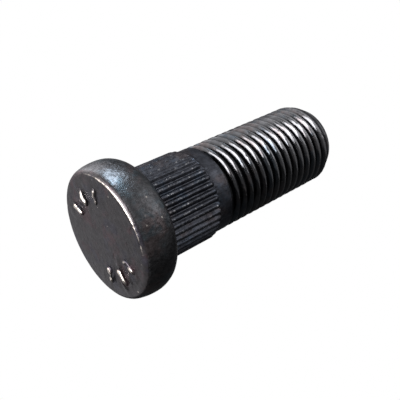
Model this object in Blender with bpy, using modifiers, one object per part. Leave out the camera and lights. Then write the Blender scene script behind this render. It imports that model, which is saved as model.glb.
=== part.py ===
"""A press-in wheel stud: one cold-forged steel piece with a barrel-edged head, a straight-knurled shoulder,
a plain neck and a rolled metric thread. It stands on its head, with the shank up along +Z and the origin
at the middle of the head's end face. Run it with: blender --background --python part.py"""

import math

import bmesh
import bpy

MM = 0.001

# Head, from its end face up to the seat that bears on the hub
HEAD_RADIUS = 10.4 * MM
HEAD_THICKNESS = 6.2 * MM
WIDEST_HEIGHT = 3.15 * MM
FACE_RADIUS = 9.65 * MM
CROWN_SWEEP = 70
SEAT_RADIUS = 8.5 * MM
SEAT_FILLET = 0.35 * MM

# Straight-knurled shoulder that is pressed into the hub
KNURL_RADIUS = 7.4 * MM
KNURL_LENGTH = 10.2 * MM
KNURL_RUNOUT = 1.0 * MM
RIDGE_COUNT = 40
GROOVE_DEPTH = 0.45 * MM
GROOVE_MOUTH = 0.74 * MM
GROOVE_FLOOR = 0.3 * MM

# Plain neck between the knurl and the thread
NECK_RADIUS = 6.97 * MM
NECK_LENGTH = 2.35 * MM

# Rolled thread, M14 x 1.5, up to the chamfered tip
THREAD_RADIUS = 6.98 * MM
THREAD_LENGTH = 24.85 * MM
PITCH = 1.5 * MM
FIRST_CREST = 0.35 * MM
FADE_LENGTH = 0.45 * MM
TIP_CHAMFER_LENGTH = 2.1 * MM
TIP_CHAMFER_DEPTH = 1.17 * MM

# How finely the round surfaces are divided
SEGMENTS = 40
CURVE_STEPS = 6
WELD_DISTANCE = 0.00001

# Heights and thread form that follow from the sizes above
KNURL_END = HEAD_THICKNESS + KNURL_LENGTH
THREAD_START = KNURL_END + NECK_LENGTH
LENGTH = THREAD_START + THREAD_LENGTH
THREAD_DEPTH = 0.6134 * PITCH
CREST_WIDTH = PITCH / 8
ROOT_WIDTH = PITCH / 4
FLANK_WIDTH = (PITCH - CREST_WIDTH - ROOT_WIDTH) / 2

STEEL_COLOUR = (0.05, 0.05, 0.054, 1.0)
STEEL_METALLIC = 0.9
STEEL_ROUGHNESS = 0.42
SHARP_ANGLE = 32


def clear_scene():
    for obj in list(bpy.data.objects):
        bpy.data.objects.remove(obj)


def new_collection(name):
    collection = bpy.data.collections.new(name)
    bpy.context.scene.collection.children.link(collection)
    return collection


def black_steel():
    """Heat-treated steel with a black oxide finish."""
    material = bpy.data.materials.new("black_oxide_steel")
    material.use_nodes = True
    shader = material.node_tree.nodes["Principled BSDF"]
    shader.inputs["Base Color"].default_value = STEEL_COLOUR
    shader.inputs["Metallic"].default_value = STEEL_METALLIC
    shader.inputs["Roughness"].default_value = STEEL_ROUGHNESS
    return material


def curve(centre, half_width, half_height, start, end):
    """Points (radius, z) along an ellipse between two angles in degrees, 0 being straight out."""
    points = []
    for step in range(CURVE_STEPS + 1):
        angle = math.radians(start + (end - start) * step / CURVE_STEPS)
        points.append((centre[0] + half_width * math.cos(angle), centre[1] + half_height * math.sin(angle)))
    return points


def shoulder_profile():
    """The neck, knurl blank and head as (radius, z), from the top of the neck down to the face's middle."""
    fillet_centre = (KNURL_RADIUS + SEAT_FILLET, HEAD_THICKNESS + SEAT_FILLET)
    seat_side = HEAD_RADIUS - SEAT_RADIUS
    sweep = math.radians(CROWN_SWEEP)
    face_side = (HEAD_RADIUS - FACE_RADIUS) / (1 - math.cos(sweep))
    face_height = WIDEST_HEIGHT / math.sin(sweep)
    points = [(NECK_RADIUS, THREAD_START), (NECK_RADIUS, KNURL_END), (KNURL_RADIUS, KNURL_END - KNURL_RUNOUT)]
    points += curve(fillet_centre, SEAT_FILLET, SEAT_FILLET, 180, 270)
    points += curve((SEAT_RADIUS, WIDEST_HEIGHT), seat_side, HEAD_THICKNESS - WIDEST_HEIGHT, 90, 0)
    points += curve((HEAD_RADIUS - face_side, WIDEST_HEIGHT), face_side, face_height, 0, -CROWN_SWEEP)[1:]
    points.append((0.0, 0.0))
    return points


def thread_profile(start):
    """One pitch of the thread as (radius, z) from a height up: crest, flank, root and flank."""
    root_radius = THREAD_RADIUS - THREAD_DEPTH
    flank_top = start + CREST_WIDTH + FLANK_WIDTH
    return [(THREAD_RADIUS, start), (THREAD_RADIUS, start + CREST_WIDTH), (root_radius, flank_top),
            (root_radius, flank_top + ROOT_WIDTH), (THREAD_RADIUS, start + PITCH)]


def spun(name, points, collection, climb=0.0, turns=1):
    """A profile in the XZ plane turned about Z; with a climb it winds up along the axis instead."""
    mesh = bpy.data.meshes.new(name)
    edges = [(i, i + 1) for i in range(len(points) - 1)]
    mesh.from_pydata([(radius, 0.0, z) for radius, z in points], edges, [])
    obj = bpy.data.objects.new(name, mesh)
    collection.objects.link(obj)
    screw = obj.modifiers.new("turned", "SCREW")
    screw.axis = "Z"
    screw.angle = math.tau
    screw.screw_offset = climb
    screw.iterations = turns
    screw.steps = SEGMENTS
    screw.render_steps = SEGMENTS
    screw.use_merge_vertices = True
    screw.merge_threshold = WELD_DISTANCE
    return obj


def evaluated_mesh(obj):
    graph = bpy.context.evaluated_depsgraph_get()
    return bpy.data.meshes.new_from_object(obj.evaluated_get(graph))


def blank_radius(z):
    """The radius of the turned blank at a height: the neck, then the thread's crests, then the chamfer."""
    share = min(1.0, max(0.0, (z - THREAD_START) / PITCH))
    into_tip = max(0.0, (z - LENGTH + TIP_CHAMFER_LENGTH) / TIP_CHAMFER_LENGTH)
    return NECK_RADIUS + (THREAD_RADIUS - NECK_RADIUS) * share - TIP_CHAMFER_DEPTH * into_tip


def groove_share(z):
    """How much of its full depth the thread's groove has at a height: it fades in above the neck."""
    share = min(1.0, max(0.0, (z - THREAD_START) / FADE_LENGTH))
    return share * share * (3 - 2 * share)


def threaded_end(made, collection):
    """Adds the thread: it is wound past both ends, then held to the blank so that it ends in flat rings."""
    turns = math.ceil(THREAD_LENGTH / PITCH) + 3
    start = THREAD_START + FIRST_CREST - 2 * PITCH
    winding = spun("thread_winding", thread_profile(start), collection, PITCH, turns)
    made.from_mesh(evaluated_mesh(winding))
    bpy.data.objects.remove(winding)
    for vert in made.verts:
        angle = math.atan2(vert.co.y, vert.co.x)
        depth = THREAD_RADIUS - math.hypot(vert.co.x, vert.co.y)
        z = min(LENGTH, max(THREAD_START, vert.co.z))
        cut = max(THREAD_RADIUS, NECK_RADIUS) - depth * groove_share(z)
        radius = min(cut, blank_radius(z))
        vert.co = (radius * math.cos(angle), radius * math.sin(angle), z)
    bmesh.ops.remove_doubles(made, verts=made.verts, dist=WELD_DISTANCE)
    bmesh.ops.dissolve_degenerate(made, edges=made.edges, dist=WELD_DISTANCE)
    tip = [e for e in made.edges if e.is_boundary and min(v.co.z for v in e.verts) > LENGTH - WELD_DISTANCE]
    bmesh.ops.contextual_create(made, geom=tip)


def knurl_grooves(collection):
    """Tapered bars set round the shoulder, one for each groove between two ridges."""
    depth = GROOVE_DEPTH
    low, high = HEAD_THICKNESS + SEAT_FILLET, KNURL_END
    reach = (GROOVE_MOUTH - GROOVE_FLOOR) / depth
    made = bmesh.new()
    for index in range(RIDGE_COUNT):
        angle = math.tau * (index + 0.5) / RIDGE_COUNT
        bar = bmesh.ops.create_cube(made, size=1.0)["verts"]
        for vert in bar:
            outside = vert.co.x > 0
            radius = KNURL_RADIUS + (depth if outside else -depth)
            width = GROOVE_MOUTH + reach * depth if outside else GROOVE_FLOOR
            across = math.copysign(width / 2, vert.co.y)
            vert.co = (radius * math.cos(angle) - across * math.sin(angle),
                       radius * math.sin(angle) + across * math.cos(angle),
                       high if vert.co.z > 0 else low)
    mesh = bpy.data.meshes.new("knurl_grooves")
    made.to_mesh(mesh)
    made.free()
    cutter = bpy.data.objects.new("knurl_grooves", mesh)
    cutter.hide_render = True
    cutter.display_type = "WIRE"
    collection.objects.link(cutter)
    return cutter


def wheel_stud(parts, cutters):
    """Head, shoulder and neck welded ring to ring to the rolled thread, then the knurl cut into it."""
    made = bmesh.new()
    threaded_end(made, cutters)
    blank = spun("shoulder_blank", shoulder_profile(), cutters)
    made.from_mesh(evaluated_mesh(blank))
    bpy.data.objects.remove(blank)
    bmesh.ops.remove_doubles(made, verts=made.verts, dist=WELD_DISTANCE)
    bmesh.ops.recalc_face_normals(made, faces=made.faces)
    mesh = bpy.data.meshes.new("wheel_stud")
    made.to_mesh(mesh)
    made.free()
    stud = bpy.data.objects.new("wheel_stud", mesh)
    parts.objects.link(stud)
    knurl = stud.modifiers.new("knurl", "BOOLEAN")
    knurl.operation = "DIFFERENCE"
    knurl.solver = "EXACT"
    knurl.object = knurl_grooves(cutters)
    finished = evaluated_mesh(stud)
    stud.modifiers.remove(knurl)
    stud.data = finished
    finished.shade_smooth()
    finished.set_sharp_from_angle(angle=math.radians(SHARP_ANGLE))
    finished.materials.clear()
    finished.materials.append(black_steel())
    return stud


clear_scene()
wheel_stud(new_collection("wheel_stud"), new_collection("cutters"))
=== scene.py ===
import math

import bmesh
import bpy
import numpy as np
from mathutils import Matrix, Vector, noise


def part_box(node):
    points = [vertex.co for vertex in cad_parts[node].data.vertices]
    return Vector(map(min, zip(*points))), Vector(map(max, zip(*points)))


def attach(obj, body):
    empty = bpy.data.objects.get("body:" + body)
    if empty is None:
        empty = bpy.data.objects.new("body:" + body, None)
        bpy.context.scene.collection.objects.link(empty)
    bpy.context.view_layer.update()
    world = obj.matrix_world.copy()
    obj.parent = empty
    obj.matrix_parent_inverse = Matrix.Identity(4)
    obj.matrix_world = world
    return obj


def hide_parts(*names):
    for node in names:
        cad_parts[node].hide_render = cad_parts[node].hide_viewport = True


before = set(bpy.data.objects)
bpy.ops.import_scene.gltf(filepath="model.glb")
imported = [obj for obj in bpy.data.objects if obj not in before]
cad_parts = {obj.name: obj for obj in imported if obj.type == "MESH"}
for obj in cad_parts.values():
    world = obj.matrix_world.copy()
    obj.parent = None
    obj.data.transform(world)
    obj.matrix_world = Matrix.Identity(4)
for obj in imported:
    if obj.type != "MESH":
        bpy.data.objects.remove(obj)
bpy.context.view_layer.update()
MM = 0.001


# The forged head: a low barrel with a flat end face, a crisp rim and a flat seat under it. It is upset from
# the same bar as the shank, so its outline runs from the face's middle round to the foot of the knurl.
STUD_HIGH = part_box("wheel_stud")[1]
HEAD_RADIUS = STUD_HIGH[0]
HEAD_THICKNESS = 6.2 * MM
WIDEST_HEIGHT = 3.15 * MM
FACE_RADIUS = 9.65 * MM
RIM_ROUNDING = 0.55 * MM
CROWN_SWEEP = 70
SEAT_RADIUS = 8.5 * MM
SEAT_FILLET = 0.35 * MM
KNURL_RADIUS = 7.4 * MM
FACE_RINGS = 20
RIM_STEPS = 7
CROWN_STEPS = 16
SHOULDER_STEPS = 14
FILLET_STEPS = 4


def curve(centre, half_width, half_height, start, end, steps):
    """Points (radius, z) along an ellipse between two angles in degrees, 0 being straight out."""
    angles = [math.radians(start + (end - start) * step / steps) for step in range(steps + 1)]
    return [(centre[0] + half_width * math.cos(a), centre[1] + half_height * math.sin(a)) for a in angles]


def rounded_corner(before, corner, after, size, steps):
    """A corner of an outline cut back by a size on both sides and drawn as a soft curve."""
    points = []
    corner = Vector(corner)
    first = corner + (Vector(before) - corner).normalized() * size
    last = corner + (Vector(after) - corner).normalized() * size
    for step in range(steps + 1):
        t = step / steps
        points.append(tuple(first * (1 - t) ** 2 + corner * 2 * t * (1 - t) + last * t ** 2))
    return points


def head_outlines():
    """The end face with its rounded rim, and the barrel side with the seat, as (radius, z)."""
    sweep = math.radians(CROWN_SWEEP)
    face_side = (HEAD_RADIUS - FACE_RADIUS) / (1 - math.cos(sweep))
    face_height = WIDEST_HEIGHT / math.sin(sweep)
    widest = (HEAD_RADIUS - face_side, WIDEST_HEIGHT)
    crown = curve(widest, face_side, face_height, -CROWN_SWEEP, 0, CROWN_STEPS)
    crown = [point for point in crown if point[1] > RIM_ROUNDING]
    flat_radius = FACE_RADIUS - RIM_ROUNDING
    face = [(flat_radius * step / FACE_RINGS, 0.0) for step in range(FACE_RINGS)]
    face += rounded_corner((0.0, 0.0), (FACE_RADIUS, 0.0), crown[0], RIM_ROUNDING, RIM_STEPS)
    seat_side = HEAD_RADIUS - SEAT_RADIUS
    seat_height = HEAD_THICKNESS - WIDEST_HEIGHT
    side = face[-1:] + crown
    side += curve((SEAT_RADIUS, WIDEST_HEIGHT), seat_side, seat_height, 0, 90, SHOULDER_STEPS)[1:]
    fillet = (KNURL_RADIUS + SEAT_FILLET, HEAD_THICKNESS + SEAT_FILLET)
    side += curve(fillet, SEAT_FILLET, SEAT_FILLET, 270, 180, FILLET_STEPS)
    return face, side


# The head's skin is black oxide, as the whole stud's is. Hot oxide leaves steel nearly black, with cloudy
# brown and blue tints, and rubs thin at edges. Each effect is one node group that every material places.
def new_group(name, inputs, outputs):
    group = bpy.data.node_groups.new(name, "ShaderNodeTree")
    for label, kind, value in inputs:
        socket = group.interface.new_socket(label, in_out="INPUT", socket_type=kind)
        if value is not None:
            socket.default_value = value
    for label, kind in outputs:
        group.interface.new_socket(label, in_out="OUTPUT", socket_type=kind)
    return group, group.nodes.new("NodeGroupInput"), group.nodes.new("NodeGroupOutput")


def noise_node(tree, vector, scale, detail, roughness):
    node = tree.nodes.new("ShaderNodeTexNoise")
    node.inputs["Detail"].default_value = detail
    node.inputs["Roughness"].default_value = roughness
    tree.links.new(vector, node.inputs["Vector"])
    if isinstance(scale, bpy.types.NodeSocket):
        tree.links.new(scale, node.inputs["Scale"])
    else:
        node.inputs["Scale"].default_value = scale
    return node.outputs["Fac"]


def remap(tree, value, low, high, new_low=0.0, new_high=1.0):
    node = tree.nodes.new("ShaderNodeMapRange")
    node.interpolation_type = "SMOOTHSTEP"
    for label, given in (("From Min", low), ("From Max", high), ("To Min", new_low), ("To Max", new_high)):
        if isinstance(given, bpy.types.NodeSocket):
            tree.links.new(given, node.inputs[label])
        else:
            node.inputs[label].default_value = given
    tree.links.new(value, node.inputs["Value"])
    return node.outputs["Result"]


def maths(tree, operation, first, second):
    node = tree.nodes.new("ShaderNodeMath")
    node.operation = operation
    for socket, given in zip(node.inputs, (first, second)):
        if isinstance(given, bpy.types.NodeSocket):
            tree.links.new(given, socket)
        else:
            socket.default_value = given
    return node.outputs["Value"]


def vector_maths(tree, operation, first, second):
    node = tree.nodes.new("ShaderNodeVectorMath")
    node.operation = operation
    for socket, given in zip(node.inputs, (first, second)):
        if isinstance(given, bpy.types.NodeSocket):
            tree.links.new(given, socket)
        else:
            socket.default_value = given
    return node.outputs["Vector"]


def blend_colours(tree, factor, first, second):
    node = tree.nodes.new("ShaderNodeMix")
    node.data_type = "RGBA"
    tree.links.new(factor, node.inputs["Factor"])
    for label, given in (("A", first), ("B", second)):
        socket = next(s for s in node.inputs if s.name == label and s.type == "RGBA")
        if isinstance(given, bpy.types.NodeSocket):
            tree.links.new(given, socket)
        else:
            socket.default_value = given
    return next(s for s in node.outputs if s.type == "RGBA")


def oxide_clouds():
    """Cloudy tints: the oxide's own colour, a warm and a cool one drift into each other, mottled all over."""
    inputs = [("Vector", "NodeSocketVector", None),
              ("Scale", "NodeSocketFloat", 300.0),
              ("Oxide", "NodeSocketColor", (0.03, 0.03, 0.03, 1)),
              ("Warm", "NodeSocketColor", (0.05, 0.03, 0.03, 1)),
              ("Cool", "NodeSocketColor", (0.03, 0.04, 0.05, 1)),
              ("Mottle", "NodeSocketFloat", 0.3)]
    outputs = [("Color", "NodeSocketColor"), ("Clouds", "NodeSocketFloat")]
    group, given, made = new_group("oxide_clouds", inputs, outputs)
    cloud_edge = (0.5, 0.62)
    mottle_edge = (0.32, 0.68)
    mottle_fineness = 5.0
    apart = (0.031, 0.017, 0.053)
    warm = noise_node(group, given.outputs["Vector"], given.outputs["Scale"], detail=4.0, roughness=0.6)
    moved = vector_maths(group, "ADD", given.outputs["Vector"], apart)
    cool = noise_node(group, moved, given.outputs["Scale"], detail=4.0, roughness=0.6)
    warmed = remap(group, warm, *cloud_edge)
    cooled = remap(group, cool, *cloud_edge)
    colour = blend_colours(group, warmed, given.outputs["Oxide"], given.outputs["Warm"])
    colour = blend_colours(group, cooled, colour, given.outputs["Cool"])
    mottle_scale = maths(group, "MULTIPLY", given.outputs["Scale"], mottle_fineness)
    mottle = noise_node(group, moved, mottle_scale, detail=4.0, roughness=0.65)
    darkest = maths(group, "SUBTRACT", 1.0, given.outputs["Mottle"])
    lightest = maths(group, "ADD", 1.0, given.outputs["Mottle"])
    shade = remap(group, mottle, *mottle_edge, darkest, lightest)
    group.links.new(vector_maths(group, "MULTIPLY", colour, shade), made.inputs["Color"])
    group.links.new(warm, made.inputs["Clouds"])
    return group


def rubbed_edges():
    """A ragged mask of bare steel where the relief stands proud."""
    inputs = [("Vector", "NodeSocketVector", None),
              ("Relief", "NodeSocketFloat", 0.0),
              ("Start", "NodeSocketFloat", 0.8),
              ("Raggedness", "NodeSocketFloat", 0.3),
              ("Scale", "NodeSocketFloat", 1500.0)]
    group, given, made = new_group("rubbed_edges", inputs, [("Mask", "NodeSocketFloat")])
    fade = 0.2
    speckle = noise_node(group, given.outputs["Vector"], given.outputs["Scale"], detail=3.0, roughness=0.6)
    wander = maths(group, "MULTIPLY", maths(group, "SUBTRACT", speckle, 0.5), given.outputs["Raggedness"])
    height = maths(group, "ADD", given.outputs["Relief"], wander)
    end = maths(group, "ADD", given.outputs["Start"], fade)
    group.links.new(remap(group, height, given.outputs["Start"], end), made.inputs["Mask"])
    return group


def forged_grain():
    """Fine pitting as a height, with sparse deeper pits; unequal fineness draws it out into rolling marks."""
    inputs = [("Vector", "NodeSocketVector", None),
              ("Fineness", "NodeSocketVector", (2500.0, 2500.0, 2500.0)),
              ("Pits", "NodeSocketFloat", 0.5)]
    group, given, made = new_group("forged_grain", inputs, [("Height", "NodeSocketFloat")])
    pit_fineness = 0.3
    pit_edge = (0.6, 0.72)
    drawn = vector_maths(group, "MULTIPLY", given.outputs["Vector"], given.outputs["Fineness"])
    fine = noise_node(group, drawn, 1.0, detail=4.0, roughness=0.6)
    wide = noise_node(group, drawn, pit_fineness, detail=2.0, roughness=0.5)
    depth = maths(group, "MULTIPLY", remap(group, wide, *pit_edge), given.outputs["Pits"])
    group.links.new(maths(group, "SUBTRACT", fine, depth), made.inputs["Height"])
    return group


def bright_specks():
    """Sparse pinpoints where the oxide has flaked off: dots of unlike sizes in the middle of a few cells."""
    inputs = [("Vector", "NodeSocketVector", None),
              ("Scale", "NodeSocketFloat", 700.0),
              ("Share", "NodeSocketFloat", 0.2),
              ("Size", "NodeSocketFloat", 0.2)]
    group, given, made = new_group("bright_specks", inputs, [("Mask", "NodeSocketFloat")])
    cells = group.nodes.new("ShaderNodeTexVoronoi")
    group.links.new(given.outputs["Vector"], cells.inputs["Vector"])
    group.links.new(given.outputs["Scale"], cells.inputs["Scale"])
    chance = group.nodes.new("ShaderNodeSeparateColor")
    group.links.new(cells.outputs["Color"], chance.inputs["Color"])
    chosen = maths(group, "LESS_THAN", chance.outputs["Red"], given.outputs["Share"])
    size = maths(group, "MULTIPLY", given.outputs["Size"], chance.outputs["Green"])
    dot = remap(group, cells.outputs["Distance"], 0.0, size, 1.0, 0.0)
    group.links.new(maths(group, "MULTIPLY", dot, chosen), made.inputs["Mask"])
    return group


def crease_rust():
    """Rust that creeps out of a crease in broken patches."""
    inputs = [("Vector", "NodeSocketVector", None),
              ("Crease", "NodeSocketFloat", 0.0),
              ("Scale", "NodeSocketFloat", 700.0),
              ("Start", "NodeSocketFloat", 1.05)]
    group, given, made = new_group("crease_rust", inputs, [("Mask", "NodeSocketFloat")])
    brokenness = 3.0
    fade = 0.25
    patches = noise_node(group, given.outputs["Vector"], given.outputs["Scale"], detail=3.0, roughness=0.6)
    drift = maths(group, "MULTIPLY", maths(group, "SUBTRACT", patches, 0.5), brokenness)
    reach = maths(group, "ADD", given.outputs["Crease"], drift)
    end = maths(group, "ADD", given.outputs["Start"], fade)
    group.links.new(remap(group, reach, given.outputs["Start"], end), made.inputs["Mask"])
    return group


OXIDE_CLOUDS = oxide_clouds()
RUBBED_EDGES = rubbed_edges()
FORGED_GRAIN = forged_grain()
BRIGHT_SPECKS = bright_specks()
CREASE_RUST = crease_rust()
RUST_COLOUR = (0.15, 0.09, 0.05, 1)
RUST_ROUGHNESS = 0.6
# How far up from a groove's root the painted shade, with some soot, reaches, in relief.
SHADE_AND_SOOT_RISE = (0.05, 0.9)
DULL_CLOUDS = (0.35, 0.7)


def place_group(tree, group, **values):
    node = tree.nodes.new("ShaderNodeGroup")
    node.node_tree = group
    for label, given in values.items():
        if isinstance(given, bpy.types.NodeSocket):
            tree.links.new(given, node.inputs[label])
        else:
            node.inputs[label].default_value = given
    return node


def point_value(tree, name):
    """A value that the mesh carries at its points."""
    node = tree.nodes.new("ShaderNodeAttribute")
    node.attribute_name = name
    return node.outputs["Fac"]


def oxide_steel(name, oxide, warm, cool, cloud_scale, mottle, bare, rub_start, raggedness, rub_scale,
                roughness, bare_roughness, grain_fineness, grain_depth, pits, speck_scale, speck_share,
                speck_size, edge_tint, groove_shade=1.0):
    """Black oxide on steel: clouds of tint, rubbed bright edges and specks, crease rust and a fine grain.
    The groove shade is the share of its lightness that the skin keeps in a groove: painted shade standing in
    for the grooves' occlusion, with some soot, rising from the root up most of the flank."""
    material = bpy.data.materials.new(name)
    material.use_nodes = True
    tree = material.node_tree
    shader = tree.nodes["Principled BSDF"]
    shader.inputs["Metallic"].default_value = 1.0
    shader.inputs["Specular Tint"].default_value = edge_tint
    place = tree.nodes.new("ShaderNodeTexCoord").outputs["Object"]
    relief = point_value(tree, "relief")
    clouds = place_group(tree, OXIDE_CLOUDS, Vector=place, Scale=cloud_scale, Oxide=oxide, Warm=warm,
                         Cool=cool, Mottle=mottle)
    rubbed = place_group(tree, RUBBED_EDGES, Vector=place, Relief=relief, Start=rub_start,
                         Raggedness=raggedness, Scale=rub_scale)
    specks = place_group(tree, BRIGHT_SPECKS, Vector=place, Scale=speck_scale, Share=speck_share,
                         Size=speck_size)
    rust = place_group(tree, CREASE_RUST, Vector=place, Crease=point_value(tree, "crease"))
    grain = place_group(tree, FORGED_GRAIN, Vector=place, Fineness=grain_fineness, Pits=pits)
    bright = maths(tree, "MAXIMUM", rubbed.outputs["Mask"], specks.outputs["Mask"])
    # Painted shade: the colour darkens with the relief from a groove's root up most of the flank, standing in
    # for the grooves' occlusion, with a little soot there too.
    shade_and_soot = remap(tree, relief, *SHADE_AND_SOOT_RISE, groove_shade, 1.0)
    colour = vector_maths(tree, "MULTIPLY", clouds.outputs["Color"], shade_and_soot)
    colour = blend_colours(tree, bright, colour, bare)
    colour = blend_colours(tree, rust.outputs["Mask"], colour, RUST_COLOUR)
    tree.links.new(colour, shader.inputs["Base Color"])
    dull = remap(tree, clouds.outputs["Clouds"], *DULL_CLOUDS, *roughness)
    shine = remap(tree, bright, 0.0, 1.0, dull, bare_roughness)
    shine = remap(tree, rust.outputs["Mask"], 0.0, 1.0, shine, RUST_ROUGHNESS)
    tree.links.new(shine, shader.inputs["Roughness"])
    bump = tree.nodes.new("ShaderNodeBump")
    bump.inputs["Distance"].default_value = grain_depth
    bump.inputs["Strength"].default_value = 1.0
    tree.links.new(grain.outputs["Height"], bump.inputs["Height"])
    tree.links.new(bump.outputs["Normal"], shader.inputs["Normal"])
    return material


head_face = oxide_steel(
    "head_face", oxide=(0.037, 0.034, 0.036, 1), warm=(0.05, 0.036, 0.04, 1), cool=(0.036, 0.034, 0.042, 1),
    cloud_scale=240.0, mottle=0.2, bare=(0.42, 0.38, 0.35, 1), edge_tint=(0.8, 0.8, 0.82, 1),
    rub_start=0.62, raggedness=0.6, rub_scale=1200.0, roughness=(0.3, 0.42), bare_roughness=0.26,
    grain_fineness=(1500.0, 1500.0, 1500.0), grain_depth=0.05 * MM, pits=0.6,
    speck_scale=900.0, speck_share=0.2, speck_size=0.22)
head_side = oxide_steel(
    "head_side", oxide=(0.052, 0.052, 0.056, 1), warm=(0.06, 0.051, 0.053, 1), cool=(0.046, 0.055, 0.063, 1),
    cloud_scale=280.0, mottle=0.3, bare=(0.4, 0.37, 0.34, 1), edge_tint=(0.7, 0.7, 0.72, 1),
    rub_start=0.62, raggedness=0.6, rub_scale=1200.0, roughness=(0.28, 0.4), bare_roughness=0.26,
    grain_fineness=(1800.0, 1800.0, 1800.0), grain_depth=0.08 * MM, pits=0.35,
    speck_scale=900.0, speck_share=0.16, speck_size=0.2)


# The knurled shoulder: straight ridges rolled along a larger diameter, which bite into the hub when the stud
# is pressed in. They run out on a short cone above them, and a plain neck leads on to the thread.
RIDGE_COUNT = 40
KNURL_END = HEAD_THICKNESS + 10.2 * MM
KNURL_RUNOUT = 1.0 * MM
RUNOUT_ROUNDNESS = 3
GROOVE_DEPTH = 0.52 * MM
GROOVE_FOOT = 0.3 * MM
END_BURR = 0.16 * MM
BURR_REACH = 0.12 * MM
NECK_RADIUS = 6.97 * MM
THREAD_START = KNURL_END + 2.35 * MM
COLUMNS_PER_RIDGE = 8
COLUMNS = RIDGE_COUNT * COLUMNS_PER_RIDGE
GROOVE_FORM = (0.0, 0.04, 0.28, 0.88, 1.0, 0.88, 0.28, 0.04)
FOOT_ROWS = 4
RIDGE_ROWS = 12
RUNOUT_ROWS = 14
RUNOUT_CROWDING = 1.5
NECK_ROWS = 6


def knurl_radius(z, column):
    """The shoulder's radius at a height: a ridge or groove, which sinks into the neck at its rounded end."""
    into_end = min(1.0, max(0.0, (z - KNURL_END + KNURL_RUNOUT) / KNURL_RUNOUT))
    foot = min(1.0, max(0.0, (z - HEAD_THICKNESS - SEAT_FILLET) / GROOVE_FOOT))
    form = GROOVE_FORM[column % COLUMNS_PER_RIDGE]
    shaped = KNURL_RADIUS - GROOVE_DEPTH * form * foot
    floor = KNURL_RADIUS - GROOVE_DEPTH + (NECK_RADIUS - KNURL_RADIUS + GROOVE_DEPTH) * into_end
    burr = END_BURR * form * math.exp(-((z - KNURL_END + BURR_REACH) / BURR_REACH) ** 2)
    return max(floor, shaped - (KNURL_RADIUS - NECK_RADIUS) * into_end ** RUNOUT_ROUNDNESS) + burr


def knurl_heights():
    """The heights of the shoulder's rings, closer together at the groove's foot and in the run-out."""
    foot = HEAD_THICKNESS + SEAT_FILLET
    cone = KNURL_END - KNURL_RUNOUT
    heights = list(np.linspace(foot, foot + GROOVE_FOOT, FOOT_ROWS))
    heights += list(np.linspace(heights[-1], cone, RIDGE_ROWS)[1:])
    heights += list(KNURL_END - KNURL_RUNOUT * np.linspace(1.0, 0.0, RUNOUT_ROWS)[1:] ** RUNOUT_CROWDING)
    heights += list(np.linspace(KNURL_END, THREAD_START, NECK_ROWS)[1:])
    return heights


knurled_shoulder = oxide_steel(
    "knurled_shoulder", oxide=(0.038, 0.04, 0.048, 1), warm=(0.045, 0.041, 0.045, 1),
    cool=(0.036, 0.043, 0.056, 1), cloud_scale=240.0, mottle=0.3, bare=(0.26, 0.26, 0.27, 1),
    edge_tint=(0.7, 0.7, 0.74, 1), rub_start=1.0, raggedness=0.9, rub_scale=2000.0,
    roughness=(0.34, 0.46), bare_roughness=0.3, grain_fineness=(4500.0, 4500.0, 900.0),
    grain_depth=0.03 * MM, pits=0.8, speck_scale=900.0, speck_share=0.3, speck_size=0.2)


# The rolled thread: a metric form pressed into the shank between dies, so its flanks are burnished brighter
# than the rest. The groove fades in above the neck and is cut away by the chamfer at the tip.
LENGTH = STUD_HIGH[2]
THREAD_RADIUS = 6.98 * MM
PITCH = 1.5 * MM
FIRST_CREST = 0.35 * MM
FADE_LENGTH = 0.45 * MM
THREAD_DEPTH = 0.6134 * PITCH
TIP_CHAMFER_LENGTH = 2.1 * MM
TIP_CHAMFER_DEPTH = 1.17 * MM
TIP_RING = 3 * MM
FORM = ((0.0, 0.0), (0.035, 0.008), (0.06, 0.035), (0.085, 0.09), (0.36, 0.86), (0.43, 0.98), (0.5, 1.0),
        (0.57, 0.97), (0.66, 0.78), (0.8, 0.34), (0.92, 0.08), (0.96, 0.01))


def thread_point(height, depth):
    """Holds a point of the winding to the blank: radius and height after the fade-in and the chamfer."""
    z = min(LENGTH, max(THREAD_START, height))
    share = min(1.0, (z - THREAD_START) / FADE_LENGTH)
    faded = share * share * (3 - 2 * share)
    crest = NECK_RADIUS + (THREAD_RADIUS - NECK_RADIUS) * share
    chamfer = crest - TIP_CHAMFER_DEPTH * max(0.0, (z - LENGTH + TIP_CHAMFER_LENGTH) / TIP_CHAMFER_LENGTH)
    return min(crest - depth * THREAD_DEPTH * faded, chamfer), z


def thread_rows():
    """Where each row of the winding starts, and how deep it lies: the form is repeated once a pitch."""
    first = THREAD_START + FIRST_CREST - 2 * PITCH
    turns = math.ceil((LENGTH - first) / PITCH)
    return [(first + (turn + share) * PITCH, depth) for turn in range(turns) for share, depth in FORM]


# Its groove_shade paints shade into the thread's grooves and up its flanks.
rolled_thread = oxide_steel(
    "rolled_thread", oxide=(0.066, 0.067, 0.072, 1), warm=(0.074, 0.066, 0.068, 1),
    cool=(0.058, 0.067, 0.079, 1), cloud_scale=200.0, mottle=0.2, bare=(0.17, 0.17, 0.18, 1),
    edge_tint=(0.7, 0.7, 0.72, 1), rub_start=0.84, raggedness=0.1, rub_scale=1800.0,
    roughness=(0.12, 0.17), bare_roughness=0.25, grain_fineness=(700.0, 700.0, 6000.0),
    grain_depth=0.006 * MM, pits=0.7, speck_scale=900.0, speck_share=0.15, speck_size=0.2,
    groove_shade=0.25)


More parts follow.
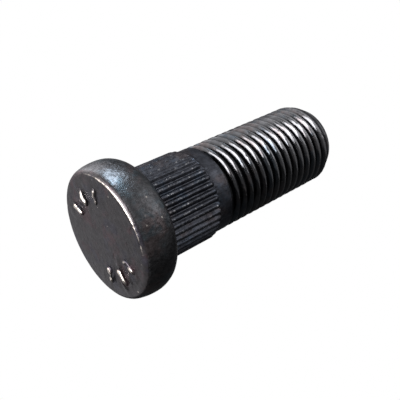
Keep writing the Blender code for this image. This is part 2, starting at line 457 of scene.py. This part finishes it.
# The finished stud is one piece of steel from face to tip. Its four zones are drawn ring by ring round the
# axis, welded where they meet, and then dented and worn a little, as studs from one bin are.
ZONE_MATERIALS = (head_face, head_side, knurled_shoulder, rolled_thread)
WELD_DISTANCE = 0.002 * MM
TURN = np.linspace(0.0, math.tau, COLUMNS + 1)
THREAD_FOOT_WEAR = 0.8
THREAD_TIP_WEAR = 1.3
RIM_WEAR = 0.27 * MM
RIM_INSET = 0.15 * MM
# The rim's wear is held to the side where the lamps' highlight falls: partly real wear, partly a painted
# highlight.
RIM_SPARED = 0.25
FAR_SPARED = 0.15
LIT_WEAR_AZIMUTH = math.radians(250)
LIT_WEAR_SWEEP = math.radians(32)
HOLLOW_DEPTH = 0.04 * MM
HOLLOW_FINENESS = 320
DENT_DEPTH = 0.02 * MM
DENT_FINENESS = 900
NICK_DEPTH = 0.28 * MM
NICK_FINENESS = 1100
NICK_RARITY = 0.28
NICK_SHIFT = Vector((0.3, 0, 0))
SHANK_SHARE = 0.35
FACE_SHARE = 0.5
STROKE_RADIUS = 6.3 * MM
SWELL_REACH = 2.0 * MM
SWELL_HEIGHT = 0.5 * MM
SWELL_FINENESS = 800
SWELL_NARROWNESS = 4
CREASE_WIDTH = 0.4 * MM
CREASE_RISE = 0.1 * MM
SEAT_RUST_RADIUS = 9.3 * MM
SEAT_RUST = 1.2


def ring_points(radius_and_height):
    """Rings of points round the axis from a function of row and column."""
    points = np.zeros((len(radius_and_height), COLUMNS + 1, 3))
    for row, ring in enumerate(radius_and_height):
        radii, heights = np.array(ring).T
        points[row] = np.stack((radii * np.cos(TURN), radii * np.sin(TURN), heights), axis=1)
    return points


def stud_zones():
    """The points of the face, the head's side, the shoulder and the thread with its flat tip."""
    columns = range(COLUMNS + 1)
    face, side = [[[point] * (COLUMNS + 1) for point in outline] for outline in head_outlines()]
    knurl = [[(knurl_radius(z, column), z) for column in columns] for z in knurl_heights()]
    thread = [[thread_point(height + PITCH * column / COLUMNS, depth) for column in columns]
              for height, depth in thread_rows()]
    tip_radii = (THREAD_RADIUS - TIP_CHAMFER_DEPTH, TIP_RING, 0.0)
    tip = [[(radius, LENGTH)] * (COLUMNS + 1) for radius in tip_radii]
    return [ring_points(rings) for rings in (face, side, knurl, thread + tip)]


def stud_mesh():
    made = bmesh.new()
    for zone, points in enumerate(stud_zones()):
        rows, columns, _ = points.shape
        verts = [made.verts.new(point) for point in points.reshape(-1, 3)]
        for row in range(rows - 1):
            for column in range(columns - 1):
                first = row * columns + column
                corners = (first, first + columns, first + columns + 1, first + 1)
                face = made.faces.new([verts[i] for i in corners])
                face.material_index = zone
                face.smooth = True
    bmesh.ops.remove_doubles(made, verts=made.verts, dist=WELD_DISTANCE)
    bmesh.ops.dissolve_degenerate(made, edges=made.edges, dist=WELD_DISTANCE)
    bmesh.ops.recalc_face_normals(made, faces=made.faces)
    mesh = bpy.data.meshes.new("stud_steel")
    made.to_mesh(mesh)
    made.free()
    return mesh


def relief_of(x, y, z):
    """How proud the surface stands, from 0 in a groove to 1 on a ridge, a crest or the rim. The rim's bare
    wear is strongest on the side where the lamps' highlight falls and spared elsewhere, so it is partly wear
    and partly a painted highlight. The thread counts as prouder toward the tip, where nuts have started on
    it."""
    radius = np.hypot(x, y)
    # Painted highlight in part: bare rim wear kept to the lit side and spared away from it.
    aside = 1.0 - np.cos(np.arctan2(y, x) - LIT_WEAR_AZIMUTH)
    lit_worn_side = 1.0 - RIM_SPARED * (1.0 - np.exp(-aside / (1.0 - math.cos(LIT_WEAR_SWEEP)))) - FAR_SPARED * aside
    rim = np.exp(-((radius - FACE_RADIUS + RIM_INSET) ** 2 + z ** 2) / RIM_WEAR ** 2) * lit_worn_side
    ridge = (radius - KNURL_RADIUS + GROOVE_DEPTH) / GROOVE_DEPTH
    faded_in = np.clip((z - THREAD_START) / FADE_LENGTH, 0.0, 1.0)
    up_the_thread = np.clip((z - THREAD_START) / (LENGTH - THREAD_START), 0.0, 1.0)
    worn_end = THREAD_FOOT_WEAR + (THREAD_TIP_WEAR - THREAD_FOOT_WEAR) * up_the_thread
    crest = (radius - THREAD_RADIUS + THREAD_DEPTH) / THREAD_DEPTH * faded_in * worn_end
    relief = np.where(z < HEAD_THICKNESS + SEAT_FILLET, rim, np.where(z < THREAD_START, ridge, crest))
    return np.clip(relief, 0.0, 1.0)


def weather(mesh):
    """Lowers the surface here and there, with soft forging hollows on the head and nicks on knurl and crests,
    swells the face beside its strokes, and gives each point its relief and its share of rust."""
    places = np.zeros(len(mesh.vertices) * 3)
    mesh.vertices.foreach_get("co", places)
    places = places.reshape(-1, 3)
    radius = np.hypot(places[:, 0], places[:, 1])
    relief = relief_of(*places.T)
    for index, (x, y, z) in enumerate(places):
        place = Vector((x, y, z))
        hollow = abs(noise.noise(place * HOLLOW_FINENESS)) * HOLLOW_DEPTH
        hollow += abs(noise.noise(place * DENT_FINENESS)) * DENT_DEPTH
        chipped = noise.noise((place + NICK_SHIFT) * NICK_FINENESS) - NICK_RARITY
        nick = max(0.0, chipped) * NICK_DEPTH * relief[index]
        if z > HEAD_THICKNESS:
            hollow *= SHANK_SHARE
        if z > THREAD_START:
            nick *= SHANK_SHARE
        if radius[index] > WELD_DISTANCE and z > WELD_DISTANCE:
            places[index, :2] *= 1 - (hollow + nick) / radius[index]
        else:
            beside = math.exp(-((radius[index] - STROKE_RADIUS) / SWELL_REACH) ** 2)
            beside *= (x / max(radius[index], MM)) ** SWELL_NARROWNESS
            swell = max(0.0, noise.noise(place * SWELL_FINENESS)) * SWELL_HEIGHT * beside
            places[index, 2] += hollow * FACE_SHARE - swell
    crease = np.exp(-((places[:, 2] - HEAD_THICKNESS - CREASE_RISE) / CREASE_WIDTH) ** 2)
    crease *= radius < SEAT_RADIUS + CREASE_WIDTH
    edge = (radius - SEAT_RUST_RADIUS) ** 2 + (places[:, 2] - HEAD_THICKNESS) ** 2
    crease += SEAT_RUST * np.exp(-edge / CREASE_WIDTH ** 2)
    mesh.vertices.foreach_set("co", places.ravel())
    for name, values in (("relief", relief), ("crease", crease)):
        mesh.attributes.new(name, "FLOAT", "POINT").data.foreach_set("value", values)


steel = stud_mesh()
weather(steel)
for material in ZONE_MATERIALS:
    steel.materials.append(material)
stud = bpy.data.objects.new("stud_steel", steel)
bpy.context.scene.collection.objects.link(stud)
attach(stud, "root")
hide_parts("wheel_stud")


# The grade strokes: short plain bars raised on the end face by the heading die, in two groups of three. They
# name nobody, their tops are what the stud stands on, and handling has rubbed them bright.
STROKE_GROUPS = 2
STROKES_PER_GROUP = 3
STROKE_SPREAD = math.radians(31)
STROKE_SIZE = Vector((2.8 * MM, 0.9 * MM, 0.7 * MM))
STROKE_HEIGHT = 0.32 * MM
STROKE_UNEVEN = 0.22 * MM
STROKE_FINENESS = 1300
END_ROUNDNESS = 0.55
SIDE_ROUNDNESS = 0.7


def squared(along, roundness):
    """Moves a point of a ball of diameter 1 outward along one axis, for a ball that nears a block."""
    return math.copysign(abs(2 * along) ** roundness, along) / 2


def grade_strokes():
    made = bmesh.new()
    sunk = Matrix.Translation((STROKE_RADIUS, 0, STROKE_SIZE.z / 2 - STROKE_HEIGHT))
    for group in range(STROKE_GROUPS):
        for index in range(STROKES_PER_GROUP):
            angle = math.tau * group / STROKE_GROUPS
            angle += STROKE_SPREAD * (index - (STROKES_PER_GROUP - 1) / 2)
            bar = bmesh.ops.create_uvsphere(made, u_segments=24, v_segments=12, radius=0.5)["verts"]
            for vert in bar:
                x, y, z = vert.co
                vert.co = (squared(x, END_ROUNDNESS), squared(y, SIDE_ROUNDNESS), z)
            place = Matrix.Rotation(angle, 4, "Z") @ sunk
            bmesh.ops.transform(made, matrix=place @ Matrix.Diagonal(STROKE_SIZE.to_4d()), verts=bar)
    made.normal_update()
    for vert in made.verts:
        vert.co += vert.normal * noise.noise(vert.co * STROKE_FINENESS) * STROKE_UNEVEN
    for face in made.faces:
        face.smooth = True
    mesh = bpy.data.meshes.new("grade_strokes")
    made.to_mesh(mesh)
    made.free()
    relief = mesh.attributes.new("relief", "FLOAT", "POINT")
    relief.data.foreach_set("value", [max(0.0, -vert.co.z / STROKE_HEIGHT) for vert in mesh.vertices])
    mesh.materials.append(head_face)
    return mesh


strokes = bpy.data.objects.new("grade_strokes", grade_strokes())
bpy.context.scene.collection.objects.link(strokes)
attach(strokes, "root")


# The studio floor: pale, under the strokes that the stud stands on, and seen only from above, so that the
# camera and the lamps below it reach the end face. Its far edge fades into the white background.
FLOOR_DROP = 0.35 * MM
FLOOR_RADIUS = 0.7
FLOOR_FADE = 0.25
FLOOR_COLOUR = (0.78, 0.78, 0.78, 1)
FLOOR_SEGMENTS = 96


def floor_material():
    material = bpy.data.materials.new("studio_floor")
    material.use_nodes = True
    tree = material.node_tree
    tree.nodes.remove(tree.nodes["Principled BSDF"])
    pale = tree.nodes.new("ShaderNodeBsdfDiffuse")
    pale.inputs["Color"].default_value = FLOOR_COLOUR
    clear = tree.nodes.new("ShaderNodeBsdfTransparent")
    rays = tree.nodes.new("ShaderNodeLightPath")
    geometry = tree.nodes.new("ShaderNodeNewGeometry")
    distance = tree.nodes.new("ShaderNodeVectorMath")
    distance.operation = "LENGTH"
    tree.links.new(geometry.outputs["Position"], distance.inputs[0])
    solid = remap(tree, distance.outputs["Value"], FLOOR_FADE, FLOOR_RADIUS, 1.0, 0.0)
    from_above = maths(tree, "SUBTRACT", rays.outputs["Is Camera Ray"], geometry.outputs["Backfacing"])
    shown = maths(tree, "MULTIPLY", maths(tree, "MAXIMUM", from_above, 0.0), solid)
    mixed = tree.nodes.new("ShaderNodeMixShader")
    tree.links.new(shown, mixed.inputs["Fac"])
    tree.links.new(clear.outputs["BSDF"], mixed.inputs[1])
    tree.links.new(pale.outputs["BSDF"], mixed.inputs[2])
    tree.links.new(mixed.outputs["Shader"], tree.nodes["Material Output"].inputs["Surface"])
    return material


disc = bmesh.new()
bmesh.ops.create_circle(disc, cap_ends=True, radius=FLOOR_RADIUS, segments=FLOOR_SEGMENTS)
floor_mesh = bpy.data.meshes.new("studio_floor")
disc.to_mesh(floor_mesh)
disc.free()
floor_mesh.materials.append(floor_material())
floor = bpy.data.objects.new("studio_floor", floor_mesh)
floor.location.z = -FLOOR_DROP
bpy.context.scene.collection.objects.link(floor)


# The light: a white surround, two small soft lamps close to the head that leave the floor alone, two wide
# ones below for the thread's flanks, and one above for the floor. Grey cards darken what the steel reflects,
# and a white strip round the head's foot stands in for the floor's reflection there.
STUD_MIDDLE = Vector((0, 0, LENGTH / 2))
HEAD_CROWN = Vector((-8, -5, 3)) * MM
FLOOR_LIGHT = 0.75
RIM_CARD_START = math.radians(-68)
RIM_CARD_END = math.radians(160)
RIM_CARD_STEPS = 48
RIM_CARD_RADII = (8.6 * MM, 11.5 * MM)
RIM_CARD_DROP = 0.6 * MM
RIM_CARD_GLOW = 1.0
COOL_WHITE = (0.74, 0.89, 1.0)
SOFT_WHITE = (1.0, 0.98, 0.96)
WARM_WHITE = (1.0, 0.98, 0.97)
PLAIN_WHITE = (1.0, 1.0, 1.0)
HELD_BEAM = 60


def white_surround():
    world = bpy.data.worlds.new("white_surround")
    world.use_nodes = True
    tree = world.node_tree
    background = tree.nodes["Background"]
    background.inputs["Color"].default_value = (1, 1, 1, 1)
    rays = tree.nodes.new("ShaderNodeLightPath")
    seen = maths(tree, "MAXIMUM", rays.outputs["Is Camera Ray"], rays.outputs["Is Glossy Ray"])
    seen = maths(tree, "MAXIMUM", seen, rays.outputs["Is Transmission Ray"])
    tree.links.new(remap(tree, seen, 0.0, 1.0, FLOOR_LIGHT, 1.0), background.inputs["Strength"])
    return world


def soft_lamp(name, aim, direction, distance, size, watts, colour, spread=180, lights_floor=True):
    """An area lamp that shines at a point from a direction, with its beam held to a spread in degrees."""
    lamp = bpy.data.lights.new(name, "AREA")
    lamp.shape = "RECTANGLE"
    lamp.size, lamp.size_y = size
    lamp.energy = watts
    lamp.color = colour
    lamp.spread = math.radians(spread)
    holder = bpy.data.objects.new(name, lamp)
    away = Vector(direction).normalized()
    holder.location = aim + away * distance
    holder.rotation_euler = away.to_track_quat("Z", "Y").to_euler()
    holder.visible_diffuse = lights_floor
    bpy.context.scene.collection.objects.link(holder)


def card(name, points, faces, glow):
    """A card of even brightness that only reflections see."""
    card_mesh = bpy.data.meshes.new(name)
    card_mesh.from_pydata(points, [], faces)
    paper = bpy.data.materials.new(name)
    paper.use_nodes = True
    shader = paper.node_tree.nodes["Principled BSDF"]
    shader.inputs["Base Color"].default_value = (0, 0, 0, 1)
    shader.inputs["Specular IOR Level"].default_value = 0.0
    shader.inputs["Emission Color"].default_value = (1, 1, 1, 1)
    shader.inputs["Emission Strength"].default_value = glow
    card_mesh.materials.append(paper)
    shown = bpy.data.objects.new(name, card_mesh)
    shown.visible_camera = shown.visible_diffuse = shown.visible_shadow = False
    bpy.context.scene.collection.objects.link(shown)
    return shown


def grey_card(name, direction, distance, size, glow):
    """An oblong card that faces the stud's middle from a direction."""
    corners = [(x * size[0] / 2, y * size[1] / 2, 0) for x, y in ((-1, -1), (1, -1), (1, 1), (-1, 1))]
    placed = card(name, corners, [(0, 1, 2, 3)], glow)
    away = Vector(direction).normalized()
    placed.location = STUD_MIDDLE + away * distance
    placed.rotation_euler = away.to_track_quat("Z", "Y").to_euler()


def rim_card():
    """A white strip at the floor's level round part of the head, which reflects it as it would a floor."""
    points = []
    for step in range(RIM_CARD_STEPS + 1):
        angle = RIM_CARD_START + (RIM_CARD_END - RIM_CARD_START) * step / RIM_CARD_STEPS
        for radius in RIM_CARD_RADII:
            points.append((radius * math.cos(angle), radius * math.sin(angle), -RIM_CARD_DROP))
    faces = [(first, first + 1, first + 3, first + 2) for first in range(0, 2 * RIM_CARD_STEPS, 2)]
    card("rim_card", points, faces, RIM_CARD_GLOW)


bpy.context.scene.world = white_surround()
soft_lamp("window", HEAD_CROWN, direction=(-0.96, -0.26, 0.05), distance=0.035, size=(0.02, 0.018),
          watts=0.003, colour=COOL_WHITE, spread=HELD_BEAM, lights_floor=False)
soft_lamp("side_lamp", HEAD_CROWN, direction=(-0.83, 0.5, 0.0), distance=0.035, size=(0.033, 0.03),
          watts=0.0021, colour=SOFT_WHITE, spread=HELD_BEAM, lights_floor=False)
soft_lamp("low_lamp", STUD_MIDDLE, direction=(-0.3, -0.11, -0.94), distance=0.28, size=(0.21, 0.19),
          watts=2.2, colour=WARM_WHITE)
soft_lamp("far_lamp", STUD_MIDDLE, direction=(-0.6, 0.32, -0.72), distance=0.28, size=(0.2, 0.2),
          watts=0.22, colour=WARM_WHITE)
soft_lamp("high_lamp", STUD_MIDDLE, direction=(-0.1, -0.75, 0.65), distance=0.5, size=(0.35, 0.35),
          watts=0.65, colour=PLAIN_WHITE)
grey_card("side_card", direction=(1, 0, 0), distance=0.07, size=(0.7, 0.7), glow=0.08)
grey_card("front_card", direction=(0.57, -0.82, 0), distance=0.06, size=(0.054, 0.3), glow=0.36)
grey_card("low_card", direction=(0.55, 0, -0.84), distance=0.15, size=(0.3, 0.2), glow=0.05)
grey_card("back_card", direction=(-0.3, 0.76, 0.58), distance=0.2, size=(0.4, 0.4), glow=0.3)
rim_card()


# The camera looks up at the head from below the floor's level, as the photograph was taken, with the shank
# running away to the upper right. Its place and turn follow from how the stud's axis lies in the picture.
PICTURE_WIDTH = 400
FOCAL_PIXELS = 620
SENSOR_WIDTH = 36.0
CAMERA_PLACE = Vector((1.36, -80.70, -37.14)) * MM
CAMERA_RIGHT = Vector((0.4418, -0.5038, 0.7423))
CAMERA_UP = Vector((-0.8971, -0.2481, 0.3656))

lens = bpy.data.cameras.new("photo_camera")
lens.sensor_width = SENSOR_WIDTH
lens.lens = FOCAL_PIXELS / PICTURE_WIDTH * SENSOR_WIDTH
lens.clip_start = 1 * MM
camera = bpy.data.objects.new("photo_camera", lens)
turn = Matrix((CAMERA_RIGHT, CAMERA_UP, CAMERA_RIGHT.cross(CAMERA_UP))).transposed()
camera.matrix_world = Matrix.Translation(CAMERA_PLACE) @ turn.to_4x4()
bpy.context.scene.collection.objects.link(camera)
bpy.context.scene.camera = camera
bpy.context.scene.view_settings.view_transform = "Standard"
